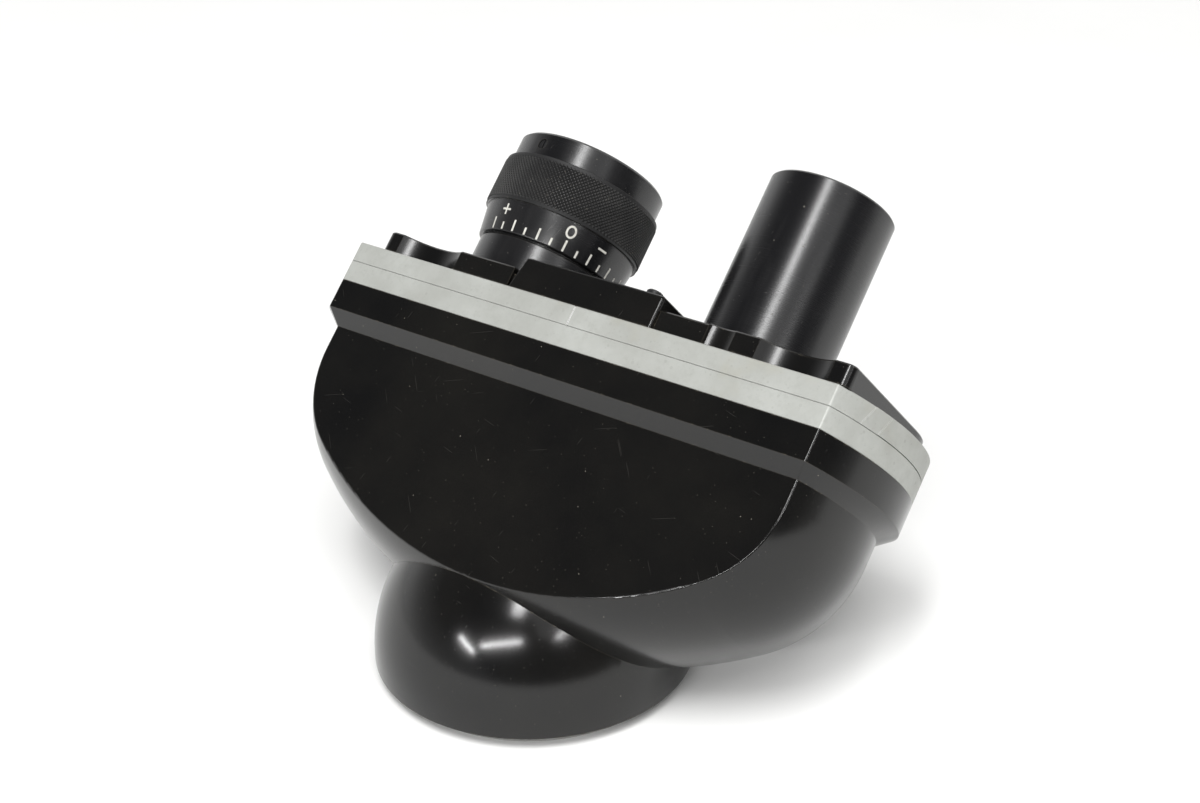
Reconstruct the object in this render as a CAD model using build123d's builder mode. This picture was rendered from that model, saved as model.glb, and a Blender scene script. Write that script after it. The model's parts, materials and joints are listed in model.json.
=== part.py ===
"""Inclined binocular viewing head with sliding eyepiece tubes, in millimetres.

Origin: centre of the mount ring's seating face. +Z goes up the mount's axis.
+X is the user's right hand, and the user sits on the -Y side.
The head's own directions are: u along +X, v towards the rear and up, w along the eyepiece tubes.
"""
import os
from math import asin, atan2, cos, degrees, pi, radians, sin, sqrt, tan

from build123d import *

os.makedirs("parts", exist_ok=True)

# ---- driving dimensions ------------------------------------------------------------------
tube_tilt = 45.0            # lean of the tubes from the mount's axis, degrees
tube_spacing = 56.0         # between the tube axes with the slides closed
slide_travel = 9.5          # each slide, outwards
plan_half_depth = 22.3      # straight rear and front edges of the bright strips
plan_arc_centre = 31.4      # centre of each rounded end, along u
plan_arc_radius = 33.8
rail_thickness = 4.2
frame_thickness = 4.45
band_height = 6.2           # upright black band under the strips
chamfer_height = 2.8
chamfer_step = 3.25         # how far the chamfer steps in
wall = 3.0                  # housing wall
arch_centre_drop = 22.55    # from the strips' top face down to the D's centre
arch_depth = 32.2           # from the D's centre down to its lowest point
arch_corner_radius = 22.0
corner_rounding = 0.6       # upright corners of the strips and band, and the D's edge
strip_bevel = 0.15          # outer edges of the strips
grip_bevel = 0.3            # top edges of the grip plates
dome_radius = 31.7
dome_drop = 58.1            # from the strips' top face down to the dome's centre, along w
dome_skirt = 1.2            # short upright skirt between the dome and its rim

ring_height = 2.8           # mount ring below the dome's rim
ring_radius = 28.5
ring_neck_radius = 27.0     # dovetail undercut, just under the rim
ring_land = 1.2             # upright land of the ring's lower edge
spigot_radius = 24.0
spigot_top = 9.6
light_port_radius = 15.0
window_radius = 17.0
window_thickness = 2.0

eyepiece_bore_radius = 11.625   # takes a 23.2 mm eyepiece
tube_radius = 13.0
tube_top = 41.0
tube_shoulder = 8.0         # where the eyepiece bore ends
tube_flange_radius = 15.5
flange_bottom = 0.1         # flanges of both tubes, let into the grip plates from below
flange_top = 1.6
light_bore_radius = 10.5

neck_radius = 15.0
neck_top = 12.4
neck_bearing_radius = 14.6
neck_bearing_top = 21.0
neck_flange_radius = 17.0
scale_radius = 16.7         # tapers down to scale_low_radius, so the marks face the eye
scale_low_radius = 15.7
scale_bottom = 12.65
knurl_radius = 17.4
knurl_bottom = 19.3
knurl_top = 29.9
knurl_bevel = 0.5
collar_radius = 16.25
collar_bottom = 26.0        # lower end of the collar, inside the knurled ring
collar_top = 35.4
sleeve_radius = 13.3
sleeve_bottom = 3.3
sleeve_shoulder = 5.0

grip_gap = 0.06             # grip plate above the rails
grip_thickness = 4.1
grip_setback = 0.1          # grip plate behind the strips' rear edge
tongue_thickness = 2.85     # inner end of a grip plate, under the cover
tongue_half_depth = 21.3
scallop_width = 15.4
scallop_depth = 2.6
cover_height = 6.75
cover_roof = 2.9
cover_skin = 0.75
cover_clearance = 0.4       # around the tubes
cover_right = 18.0          # cover's end on the +u side
cover_left = -16.4          # cover's end on the -u side
cover_rib_half_width = 2.3
cover_draft = 1.4           # how far the +u end leans inwards over the cover's height
cover_rounding = 0.7

pinion_module = 0.6
pinion_teeth = 18
pressure_angle = 20.0
backlash = 0.16
rack_height = 3.0

prism_size = 20.0           # side prisms, along v and along w
splitter_size = 18.0
running_gap = 0.05          # sliding and turning fits

# ---- derived sizes -----------------------------------------------------------------------
tilt = radians(tube_tilt)
half_spacing = tube_spacing / 2
frame_top = -rail_thickness
frame_bottom = frame_top - frame_thickness
band_bottom = frame_bottom - band_height
chamfer_bottom = band_bottom - chamfer_height
face_half_depth = plan_half_depth - chamfer_step
dome_v = face_half_depth - dome_radius
dome_height = ring_height + dome_skirt

u_dir = Vector(1, 0, 0)
v_dir = Vector(0, cos(tilt), sin(tilt))
w_dir = Vector(0, -sin(tilt), cos(tilt))
head_origin = Vector(
    0,
    -(dome_v * cos(tilt) + dome_drop * sin(tilt)),
    dome_height - (dome_v * sin(tilt) - dome_drop * cos(tilt)),
)


def head_point(u, v, w):
    """A point given along u, v and w from the middle of the strips' top face."""
    return head_origin + u_dir * u + v_dir * v + w_dir * w


def level(w, u=0.0, v=0.0):
    """Plane square to the tubes at height w, x along u and y along v."""
    return Plane(origin=head_point(u, v, w), x_dir=u_dir, z_dir=w_dir)


def upright(u=0.0, v=0.0, w=0.0):
    """Plane facing forwards, x along u and y along w."""
    return Plane(origin=head_point(u, v, w), x_dir=u_dir, z_dir=-v_dir)


def section(u=0.0, v=0.0, w=0.0):
    """Plane facing +u, x along v and y along w."""
    return Plane(origin=head_point(u, v, w), x_dir=v_dir, z_dir=u_dir)


def slab(w_low, w_high, u_low, u_high, v_low, v_high, mode=Mode.ADD):
    """Box in the head's own directions."""
    with BuildPart() as box:
        with BuildSketch(level(w_low)):
            with Locations(((u_low + u_high) / 2, (v_low + v_high) / 2)):
                Rectangle(u_high - u_low, v_high - v_low)
        extrude(amount=w_high - w_low)
    add(box, mode=mode)


def turned(profile, u=0.0, v=0.0, mode=Mode.ADD):
    """Body turned about a line along w, from (radius, w) points."""
    with BuildPart() as body:
        with BuildSketch(upright(u, v)):
            with BuildLine():
                Polyline(*profile, close=True)
            make_face()
        revolve(axis=Axis(head_point(u, v, 0), w_dir))
    add(body, mode=mode)


def drilled(radius, w_low, w_high, u=0.0, v=0.0, mode=Mode.SUBTRACT):
    """Cylinder along w, taken away unless the mode says otherwise."""
    with BuildPart() as cylinder:
        with BuildSketch(level(w_low, u, v)):
            Circle(radius)
        extrude(amount=w_high - w_low)
    add(cylinder, mode=mode)


def turned_upright(profile, mode=Mode.ADD):
    """Body turned about the mount's axis, from (radius, height) points."""
    with BuildPart() as body:
        with BuildSketch(Plane.XZ):
            with BuildLine():
                Polyline(*profile, close=True)
            make_face()
        revolve(axis=Axis.Z)
    add(body, mode=mode)


def finish(builder, name):
    """Label a finished piece and write it."""
    builder.part.label = name
    export_step(builder.part, f"parts/{name}.step")


def plan_outline(inset=0.0):
    """Straight edges with arc ends, the shape that the strips and the band share."""
    half_depth = plan_half_depth - inset
    radius = plan_arc_radius - inset
    corner = plan_arc_centre + sqrt(radius**2 - half_depth**2)
    tip = plan_arc_centre + radius
    with BuildSketch() as outline:
        with BuildLine():
            Line((-corner, half_depth), (corner, half_depth))
            ThreePointArc((corner, half_depth), (tip, 0), (corner, -half_depth))
            Line((corner, -half_depth), (-corner, -half_depth))
            ThreePointArc((-corner, -half_depth), (-tip, 0), (-corner, half_depth))
        make_face()
        fillet(outline.vertices(), corner_rounding)
    add(outline.sketch)


def countersunk(screw, u, v, gap=0.0, mode=Mode.ADD):
    """Countersunk screw along w, or with a gap the hole that takes it."""
    head = screw["head"] + gap
    shaft = screw["shaft"] + gap
    top = screw["top"]
    low = top - screw["length"]
    turned([(0, top), (head, top), (shaft, top - screw["sink"]), (shaft, low), (0, low)], u, v, mode)
    if mode == Mode.ADD:
        slab(top - screw["sink"] / 2, top + 0.1, u - head, u + head, v - 0.3, v + 0.3, Mode.SUBTRACT)
    else:
        drilled(head, top - 0.01, top + 1, u, v)


# ---- fasteners: head radius, shaft radius, countersink depth and length -------------------
flush = 0.03                # screw heads lie this far under the face around them
screw_gap = 0.03
cover_top_face = cover_height - flush
tongue_top_face = grip_gap + tongue_thickness - flush
grip_top_face = grip_gap + grip_thickness - flush
rail_screw = {"head": 2.2, "shaft": 1.2, "sink": 1.1, "length": 13.5, "top": -flush}
cage_screw = {"head": 1.9, "shaft": 1.0, "sink": 0.9, "length": 6.2, "top": frame_top - flush}
carrier_screw = {"head": 1.7, "shaft": 0.9, "sink": 0.8, "length": 8.5, "top": -flush}
tongue_screw = {"head": 1.9, "shaft": 1.0, "sink": 0.9, "length": 6.0, "top": tongue_top_face}
grip_screw = {"head": 1.9, "shaft": 1.0, "sink": 0.9, "length": 6.5, "top": grip_top_face}
cover_screw = {"head": 1.7, "shaft": 0.9, "sink": 0.8, "length": 10.1, "top": cover_top_face}

rail_screw_places = [(u, v) for u in (-45.0, -12.0, 12.0, 45.0) for v in (-19.2, 19.2)]
cage_screw_places = [(u, v) for u in (-5.5, 5.5) for v in (-14.1, 14.1)]
cover_screw_places = [(-1.2, v) for v in (-18.6, 18.6)]
carrier_screw_offsets = [(u, v) for u in (-8.2, 9.4) for v in (-8.6, 8.6)]
grip_screw_offsets = [(18.0, -8.0), (18.0, 8.0)]
tongue_screw_offsets = [(-17.5, -8.5), (-17.5, 8.5)]

# ---- prism housing --------------------------------------------------------------------------
end_radius = plan_arc_radius - chamfer_step
end_reach = sqrt(end_radius**2 - face_half_depth**2)
arch_half_width = plan_arc_centre + end_reach
arch_base_radius = (arch_half_width**2 + arch_depth**2 - 2 * arch_half_width * arch_corner_radius) / (
    2 * (arch_depth - arch_corner_radius)
)
arch_corner_u = arch_half_width - arch_corner_radius
arch_base_w = -arch_centre_drop - arch_depth + arch_base_radius
arch_base_angle = atan2(arch_corner_u, arch_base_radius - arch_depth)
core_margin = 5.0


def bulged_profile(radius, inner, inset):
    """Half section of the D's rounded side: flat faces joined by the same arc as the strips' ends."""
    half_depth = face_half_depth - inset
    arc = end_radius - inset
    centre = radius - end_reach
    edge = centre + sqrt(arc**2 - half_depth**2)
    with BuildSketch() as outline:
        with BuildLine():
            Line((inner, -half_depth), (edge, -half_depth))
            ThreePointArc((edge, -half_depth), (centre + arc, 0), (edge, half_depth))
            Polyline((edge, half_depth), (inner, half_depth), (inner, -half_depth))
        make_face()
        fillet(outline.vertices().sort_by(Axis.X)[-2:], corner_rounding)
    add(outline.sketch)


def arched_body(inset, top, mode=Mode.ADD):
    """D-shaped body below the band, as a whole or shrunk by inset for its hollow."""
    half_depth = face_half_depth - inset
    shrink = core_margin + inset
    half_width = arch_half_width - shrink
    corner_radius = arch_corner_radius - shrink
    base_radius = arch_base_radius - shrink
    tangent_u = arch_corner_u + corner_radius * sin(arch_base_angle)
    tangent_w = -arch_centre_drop - corner_radius * cos(arch_base_angle)
    lean = (pi / 2 + arch_base_angle) / 2
    corner_mid_u = arch_corner_u + corner_radius * sin(lean)
    corner_mid_w = -arch_centre_drop - corner_radius * cos(lean)
    base_centre = head_point(0, 0, arch_base_w)
    start_dir = u_dir * sin(arch_base_angle) - w_dir * cos(arch_base_angle)
    with BuildPart() as body:
        with BuildSketch(level(-arch_centre_drop)):
            plan_outline(chamfer_step + inset)
        extrude(amount=top + arch_centre_drop)
        with BuildSketch(upright()):
            with BuildLine():
                Line((-half_width, -arch_centre_drop), (half_width, -arch_centre_drop))
                for side in (-1, 1):
                    ThreePointArc(
                        (side * half_width, -arch_centre_drop),
                        (side * corner_mid_u, corner_mid_w),
                        (side * tangent_u, tangent_w),
                    )
                ThreePointArc((-tangent_u, tangent_w), (0, arch_base_w - base_radius), (tangent_u, tangent_w))
            make_face()
        extrude(amount=half_depth, both=True)
        for side in (-1, 1):
            with BuildSketch(level(-arch_centre_drop, side * arch_corner_u)):
                bulged_profile(arch_corner_radius, 0, inset)
            revolve(axis=Axis(head_point(side * arch_corner_u, 0, -arch_centre_drop), v_dir))
        with BuildSketch(Plane(origin=base_centre, x_dir=start_dir, z_dir=start_dir.cross(v_dir))):
            bulged_profile(arch_base_radius, arch_base_radius - 2 * core_margin, inset)
        revolve(axis=Axis(base_centre, v_dir), revolution_arc=degrees(2 * arch_base_angle))
        split(bisect_by=level(top), keep=Keep.BOTTOM)
    add(body, mode=mode)


def dome_body(radius, bottom, mode=Mode.ADD):
    """Half ball about the mount's axis, with an upright skirt down to the given height."""
    low = max(bottom, dome_height)
    start = sqrt(radius**2 - (low - dome_height) ** 2)
    mid = asin((low - dome_height) / radius) / 2 + pi / 4
    with BuildPart() as body:
        with BuildSketch(Plane.XZ):
            with BuildLine():
                Polyline((0, dome_height + radius), (0, bottom), (start, bottom))
                if bottom < dome_height:
                    Line((start, bottom), (start, dome_height))
                ThreePointArc(
                    (start, low),
                    (radius * cos(mid), dome_height + radius * sin(mid)),
                    (0, dome_height + radius),
                )
            make_face()
        revolve(axis=Axis.Z)
    add(body, mode=mode)


ring_screw_circle = 25.9
ring_screw_count = 3
floor_top = ring_height + wall

with BuildPart() as prism_housing:
    with BuildSketch(level(band_bottom)):
        plan_outline()
    extrude(amount=band_height)
    with BuildSketch(level(chamfer_bottom)):
        plan_outline(chamfer_step)
    with BuildSketch(level(band_bottom)):
        plan_outline()
    loft(ruled=True)
    arched_body(0.0, chamfer_bottom)
    dome_body(dome_radius, ring_height)
    split(bisect_by=Plane.XY.offset(ring_height), keep=Keep.TOP)
    arched_body(wall, frame_bottom, Mode.SUBTRACT)
    dome_body(dome_radius - wall, floor_top, Mode.SUBTRACT)
    with BuildSketch(Plane.XY.offset(ring_height)):
        Circle(spigot_radius + running_gap)
        with PolarLocations(ring_screw_circle, ring_screw_count, start_angle=90):
            Circle(0.9 + screw_gap)
    extrude(amount=wall + 0.5, mode=Mode.SUBTRACT)
    for place in rail_screw_places:
        countersunk(rail_screw, *place, screw_gap, Mode.SUBTRACT)
finish(prism_housing, "prism_housing")

# ---- mount ring, window and deflection prism -------------------------------------------------
bracket_bottom = spigot_top + 0.05
bracket_base = 1.8
bracket_radius = 23.0
bracket_hole = 12.8
bracket_cheek = 2.0
bracket_screw_circle = 20.6
bracket_screw_length = 4.6
bracket_top = bracket_bottom + bracket_base
bracket_screw_low = bracket_top - bracket_screw_length
window_seat = 5.4
retainer_bottom = window_seat + window_thickness + 0.05
ring_screw_head = 1.7
ring_screw_sink = 0.9
ring_screw_length = 5.4


def mount_screw(gap=0.0):
    """One countersunk screw of the mount ring, head down at the seating face, or its hole."""
    head = ring_screw_head + gap
    shaft = 0.9 + gap
    with BuildPart() as one_screw:
        turned_upright([
            (0, 0.03 - gap),
            (head, 0.03 - gap),
            (shaft, 0.03 - gap + head - shaft),
            (shaft, ring_screw_length + gap),
            (0, ring_screw_length + gap),
        ])
        if gap == 0:
            with BuildSketch(Plane.XY):
                Rectangle(2 * ring_screw_head, 0.5)
            extrude(amount=0.45, mode=Mode.SUBTRACT)
    return one_screw.part


with BuildPart() as mount_ring:
    turned_upright([
        (light_port_radius, 0),
        (ring_radius, 0),
        (ring_radius, ring_land),
        (ring_neck_radius, ring_height),
        (spigot_radius, ring_height),
        (spigot_radius, spigot_top),
        (window_radius + running_gap, spigot_top),
        (window_radius + running_gap, window_seat),
        (light_port_radius, window_seat),
    ])
    with PolarLocations(ring_screw_circle, ring_screw_count, start_angle=90):
        add(mount_screw(screw_gap), mode=Mode.SUBTRACT)
    with BuildSketch(Plane.XY.offset(bracket_screw_low - 0.3)):
        with PolarLocations(bracket_screw_circle, 3, start_angle=30):
            Circle(0.9 + screw_gap)
    extrude(amount=spigot_top, mode=Mode.SUBTRACT)
finish(mount_ring, "mount_ring")

with BuildPart() as mount_ring_screws:
    with PolarLocations(ring_screw_circle, ring_screw_count, start_angle=90):
        add(mount_screw())
finish(mount_ring_screws, "mount_ring_screws")

with BuildPart() as entrance_window:
    with BuildSketch(Plane.XY.offset(window_seat + 0.02)):
        Circle(window_radius)
    extrude(amount=window_thickness)
    chamfer(entrance_window.edges().filter_by(GeomType.CIRCLE), 0.2)
finish(entrance_window, "entrance_window")

with BuildPart() as window_retainer:
    turned_upright([
        (light_port_radius, retainer_bottom),
        (window_radius, retainer_bottom),
        (window_radius, spigot_top - 0.2),
        (light_port_radius, spigot_top - 0.2),
    ])
    with BuildSketch(Plane.XY.offset(spigot_top - 1.0)):
        Rectangle(2 * window_radius + 1, 1.2)
    extrude(amount=1.0, mode=Mode.SUBTRACT)
finish(window_retainer, "window_retainer")

deflection_reach = 12.0     # from the prism's sharp edge to either axis
deflection_half_width = 10.0
apex_z = head_origin.Z + (-deflection_reach - (-deflection_reach - head_origin.Y) * cos(tilt)) / sin(tilt)
deflection_points = [
    (-deflection_reach, apex_z),
    (deflection_reach, apex_z),
    (
        -deflection_reach + 2 * deflection_reach * cos(tilt),
        apex_z + 2 * deflection_reach * sin(tilt),
    ),
]
with BuildPart() as deflection_prism:
    with BuildSketch(Plane.YZ):
        with BuildLine():
            Polyline(*deflection_points, close=True)
        make_face()
    extrude(amount=deflection_half_width, both=True)
    chamfer(deflection_prism.edges(), 0.25)
finish(deflection_prism, "deflection_prism")

with BuildPart() as deflection_bracket:
    with BuildSketch(Plane.XY.offset(bracket_bottom)):
        Circle(bracket_radius)
        Circle(bracket_hole, mode=Mode.SUBTRACT)
        with PolarLocations(bracket_screw_circle, 3, start_angle=30):
            Circle(0.9 + screw_gap, mode=Mode.SUBTRACT)
    extrude(amount=bracket_base)
    with BuildSketch(Plane.YZ.offset(deflection_half_width + running_gap)):
        with BuildLine():
            Polyline(
                (-13.5, bracket_bottom), (13.5, bracket_bottom), (13.5, 17.5), (6.5, 34.5),
                (2.5, 34.5), (-13.5, 18.8), close=True,
            )
        make_face()
    extrude(amount=bracket_cheek)
    mirror(about=Plane.YZ)
    with BuildSketch(Plane.XY.offset(bracket_bottom)):
        Circle(bracket_hole)
    extrude(amount=bracket_base, mode=Mode.SUBTRACT)
finish(deflection_bracket, "deflection_bracket")

with BuildPart() as one_bracket_screw:
    turned_upright([
        (0, bracket_screw_low),
        (0.9, bracket_screw_low),
        (0.9, bracket_top + 0.03),
        (1.8, bracket_top + 0.03),
        (1.8, bracket_top + 1.2),
        (0, bracket_top + 1.2),
    ])
    with BuildSketch(Plane.XY.offset(bracket_top + 0.7)):
        Rectangle(4, 0.5)
    extrude(amount=1.0, mode=Mode.SUBTRACT)
with BuildPart() as bracket_screws:
    with PolarLocations(bracket_screw_circle, 3, start_angle=30):
        add(one_bracket_screw.part)
finish(bracket_screws, "bracket_screws")

# ---- beam splitter in its cage -----------------------------------------------------------------
beam_w = -27.0              # height of the sideways beams
splitter_half = splitter_size / 2
cage_top = frame_bottom - 0.05
cage_plate = 1.8
cage_cheek = 2.0
cage_low = beam_w - splitter_half - 0.5
path_block_depth = 4.8
axle_radius = 1.5
cage_left = -splitter_half
cage_right = splitter_half + path_block_depth + 0.2
with BuildPart() as splitter_cage:
    slab(cage_top - cage_plate, cage_top, cage_left, cage_right, -15.6, 15.6)
    for side in (-1, 1):
        near = side * (splitter_half + running_gap)
        far = side * (splitter_half + running_gap + cage_cheek)
        slab(cage_low, cage_top - cage_plate, cage_left, cage_right, min(near, far), max(near, far))
    drilled(axle_radius + screw_gap, cage_top - cage_plate, cage_top)
    for place in cage_screw_places:
        countersunk(cage_screw, *place, screw_gap, Mode.SUBTRACT)
finish(splitter_cage, "splitter_cage")

with BuildPart() as cage_screws:
    for place in cage_screw_places:
        countersunk(cage_screw, *place)
finish(cage_screws, "cage_screws")


def cemented_prism(corner_signs, name):
    """Half of the splitter cube, cut along the diagonal in the u-w plane."""
    with BuildPart() as half_cube:
        with BuildSketch(upright(0, 0, beam_w)):
            with BuildLine():
                Polyline(*[(a * splitter_half, b * splitter_half) for a, b in corner_signs], close=True)
            make_face()
        extrude(amount=splitter_half, both=True)
        chamfer(half_cube.edges(), 0.2)
    finish(half_cube, name)


cemented_prism([(-1, -1), (1, -1), (-1, 1)], "splitter_prism_lower")
cemented_prism([(1, 1), (-1, 1), (1, -1)], "splitter_prism_upper")

with BuildPart() as path_block:
    slab(
        beam_w - splitter_half, beam_w + splitter_half,
        splitter_half + 0.1, splitter_half + 0.1 + path_block_depth,
        -splitter_half, splitter_half,
    )
    chamfer(path_block.edges(), 0.2)
finish(path_block, "path_block")

# ---- frame plate, rails and gibs ----------------------------------------------------------------
opening_half_length = 52.0
opening_half_depth = 12.7
rail_seam = 0.9             # where the rails meet, along u
seam_gap = 0.05
flank_top = 15.1            # rail's sloping inner face, from the middle
flank_lean = 1.6
gib_width = 4.1
layer_gap = 0.04

with BuildPart() as frame_plate:
    with BuildSketch(level(frame_bottom)):
        plan_outline()
        RectangleRounded(2 * opening_half_length, 2 * opening_half_depth, 3.0, mode=Mode.SUBTRACT)
    extrude(amount=frame_thickness)
    for face in frame_plate.faces().filter_by(Axis(head_origin, w_dir)):
        chamfer(face.outer_wire().edges(), strip_bevel)
    for place in rail_screw_places:
        countersunk(rail_screw, *place, screw_gap, Mode.SUBTRACT)
    for place in cage_screw_places:
        countersunk(cage_screw, *place, screw_gap, Mode.SUBTRACT)
finish(frame_plate, "frame_plate")


def plan_bar(u_low, u_high, section_points, low, high):
    """Length of the strips' outline with the given v-w section."""
    with BuildPart() as bar:
        with BuildSketch(level(low)):
            plan_outline()
        extrude(amount=high - low)
        with BuildSketch(section(u_low)):
            with BuildLine():
                Polyline(*section_points, close=True)
            make_face()
        extrude(amount=u_high - u_low, mode=Mode.INTERSECT)
    add(bar)


outside = 2 * plan_half_depth
for side_name, v_side in (("rear", 1), ("front", -1)):
    for hand_name, u_side in (("left", -1), ("right", 1)):
        with BuildPart() as rail:
            rail_points = [
                (v_side * flank_top, 0),
                (v_side * outside, 0),
                (v_side * outside, frame_top + layer_gap),
                (v_side * (flank_top + flank_lean), frame_top + layer_gap),
            ]
            if u_side > 0:
                plan_bar(rail_seam + seam_gap, 100, rail_points, frame_top + layer_gap, 0)
            else:
                plan_bar(-100, rail_seam - seam_gap, rail_points, frame_top + layer_gap, 0)
            chamfer(rail.faces().sort_by(Axis(head_origin, w_dir))[-1].edges(), strip_bevel)
            for u, v in rail_screw_places:
                if u * u_side > 0 and v * v_side > 0:
                    countersunk(rail_screw, u, v, screw_gap, Mode.SUBTRACT)
            for u, v in cover_screw_places:
                if u * u_side > 0 and v * v_side > 0:
                    drilled(cover_screw["shaft"] + screw_gap, frame_top, 0.1, u, v)
        finish(rail, f"{side_name}_rail_{hand_name}")

for hand_name, u_side in (("left", -1), ("right", 1)):
    with BuildPart() as gib:
        gib_points = [
            (flank_top - gib_width + running_gap, 0),
            (flank_top - running_gap, 0),
            (flank_top + flank_lean - running_gap, frame_top + layer_gap),
            (flank_top - gib_width + flank_lean + running_gap, frame_top + layer_gap),
        ]
        if u_side > 0:
            plan_bar(rail_seam + seam_gap, 100, gib_points, frame_top + layer_gap, 0)
        else:
            plan_bar(-100, rail_seam - seam_gap, gib_points, frame_top + layer_gap, 0)
    finish(gib, f"gib_{hand_name}")

with BuildPart() as rail_screws:
    for place in rail_screw_places:
        countersunk(rail_screw, *place)
finish(rail_screws, "rail_screws")

# ---- slides -----------------------------------------------------------------------------------
slide_bottom = frame_top + 0.1
slide_inner = 0.1           # each slide's inner end from the middle
slide_light_radius = 9.5
rack_pitch_v = pinion_module * pinion_teeth / 2
rack_depth = 4.0
rack_top = -4.75
rack_inner = -14.0
rack_outer = 14.5
rack_pad_inner = 3.0
rack_screw_places = [(5.0, 7.4), (13.0, 7.4)]
rack_screw_radius = 0.8
stop_screw_u = 41.0
stop_screw_radius = 1.2
stop_screw_bottom = -8.2

for hand_name, side in (("left", -1), ("right", 1)):
    with BuildPart() as slide:
        slide_points = [
            (-flank_top + running_gap, 0),
            (flank_top - gib_width - running_gap, 0),
            (flank_top - gib_width + flank_lean - running_gap, slide_bottom),
            (-flank_top - flank_lean + running_gap, slide_bottom),
        ]
        if side > 0:
            plan_bar(slide_inner, 100, slide_points, slide_bottom, 0)
        else:
            plan_bar(-100, -slide_inner, slide_points, slide_bottom, 0)
        centre = side * half_spacing
        drilled(slide_light_radius, slide_bottom - 1, 1, centre)
        for u, v in carrier_screw_offsets:
            countersunk(carrier_screw, centre + side * u, v, screw_gap, Mode.SUBTRACT)
        for u, v in grip_screw_offsets + tongue_screw_offsets:
            drilled(grip_screw["shaft"] + screw_gap, slide_bottom - 1, 1, centre + side * u, v)
        for u, v in rack_screw_places:
            drilled(rack_screw_radius + screw_gap, slide_bottom - 1, -1.2, side * u, side * v)
        drilled(stop_screw_radius + screw_gap, slide_bottom - 1, -1.2, side * stop_screw_u)
    finish(slide, f"{hand_name}_slide")

    with BuildPart() as stop_screw:
        drilled(stop_screw_radius, stop_screw_bottom, -1.3, side * stop_screw_u, mode=Mode.ADD)
        chamfer(stop_screw.edges().filter_by(GeomType.CIRCLE), 0.2)
    finish(stop_screw, f"{hand_name}_stop_screw")

# ---- racks and pinion ---------------------------------------------------------------------------
tooth_pitch = pi * pinion_module
flank = tan(radians(pressure_angle))
addendum = pinion_module
dedendum = 1.25 * pinion_module


def rack_outline(tooth_centre):
    """Rack with its teeth towards -y, pitch line at y = 0, from rack_inner to rack_outer."""
    half_tooth = tooth_pitch / 4 - backlash / 4
    root_half = half_tooth + dedendum * flank
    tip_half = half_tooth - addendum * flank
    points = [(rack_inner, rack_depth), (rack_inner, dedendum)]
    first = -int((tooth_centre - rack_inner - root_half) // tooth_pitch)
    last = int((rack_outer - tooth_centre - root_half) // tooth_pitch)
    for index in range(first, last + 1):
        middle = tooth_centre + index * tooth_pitch
        points += [
            (middle - root_half, dedendum),
            (middle - tip_half, -addendum),
            (middle + tip_half, -addendum),
            (middle + root_half, dedendum),
        ]
    points += [(rack_outer, dedendum), (rack_outer, rack_depth)]
    return points


def pinion_points():
    """Involute pinion with a tooth centred on +x."""
    pitch_radius = rack_pitch_v
    base_radius = pitch_radius * cos(radians(pressure_angle))
    tip_radius = pitch_radius + addendum
    root_radius = pitch_radius - dedendum
    involute = tan(radians(pressure_angle)) - radians(pressure_angle)
    half_angle = pi / (2 * pinion_teeth) - backlash / (4 * pitch_radius) + involute
    steps = 5
    flank_points = [(root_radius, half_angle)]
    for step in range(steps + 1):
        radius = base_radius + (tip_radius - base_radius) * step / steps
        roll = sqrt(max((radius / base_radius) ** 2 - 1, 0))
        flank_points.append((radius, half_angle - (roll - atan2(roll, 1))))
    points = []
    for index in range(pinion_teeth):
        middle = 2 * pi * index / pinion_teeth
        for radius, angle in flank_points:
            points.append((radius * cos(middle - angle), radius * sin(middle - angle)))
        for radius, angle in reversed(flank_points):
            points.append((radius * cos(middle + angle), radius * sin(middle + angle)))
    return points


# A tooth of the pinion stands on +u, so a tooth gap faces +v or -v only when a quarter turn is
# a whole number of pitches and a half. The racks are set to the pinion's phase there.
quarter_phase = (pinion_teeth / 4) % 1
rack_phase = (0.5 - quarter_phase) * tooth_pitch
for hand_name, side in (("left", -1), ("right", 1)):
    with BuildPart() as rack:
        with BuildSketch(level(rack_top - rack_height)):
            with BuildLine():
                outline = [(side * u, side * (rack_pitch_v + v)) for u, v in rack_outline(rack_phase)]
                Polyline(*outline, close=True)
            make_face()
        extrude(amount=rack_height)
        pad_u = sorted((side * rack_pad_inner, side * rack_outer))
        pad_v = sorted((side * (rack_pitch_v + dedendum + 0.3), side * (rack_pitch_v + rack_depth)))
        slab(rack_top, slide_bottom - 0.03, *pad_u, *pad_v)
        for u, v in rack_screw_places:
            drilled(rack_screw_radius + screw_gap, rack_top - rack_height, 0, side * u, side * v)
    finish(rack, f"{hand_name}_rack")

    with BuildPart() as rack_screws:
        for u, v in rack_screw_places:
            low = rack_top - rack_height
            turned(
                [(0, low - 0.03), (1.4, low - 0.03), (1.4, low - 0.8), (0, low - 0.8)],
                side * u, side * v,
            )
            drilled(rack_screw_radius, low - 0.1, -1.3, side * u, side * v, Mode.ADD)
    finish(rack_screws, f"{hand_name}_rack_screws")

with BuildPart() as pinion:
    with BuildSketch(level(rack_top - rack_height)):
        with BuildLine():
            Polyline(*pinion_points(), close=True)
        make_face()
        Circle(axle_radius + running_gap, mode=Mode.SUBTRACT)
    extrude(amount=rack_height)
finish(pinion, "pinion")

with BuildPart() as pinion_axle:
    turned([
        (0, cage_top - cage_plate),
        (axle_radius, cage_top - cage_plate),
        (axle_radius, cage_top + 0.05),
        (2.5, cage_top + 0.05),
        (2.5, rack_top - rack_height - 0.05),
        (axle_radius, rack_top - rack_height - 0.05),
        (axle_radius, rack_top + 0.05),
        (2.4, rack_top + 0.05),
        (2.4, rack_top + 0.45),
        (0, rack_top + 0.45),
    ])
finish(pinion_axle, "pinion_axle")

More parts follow.
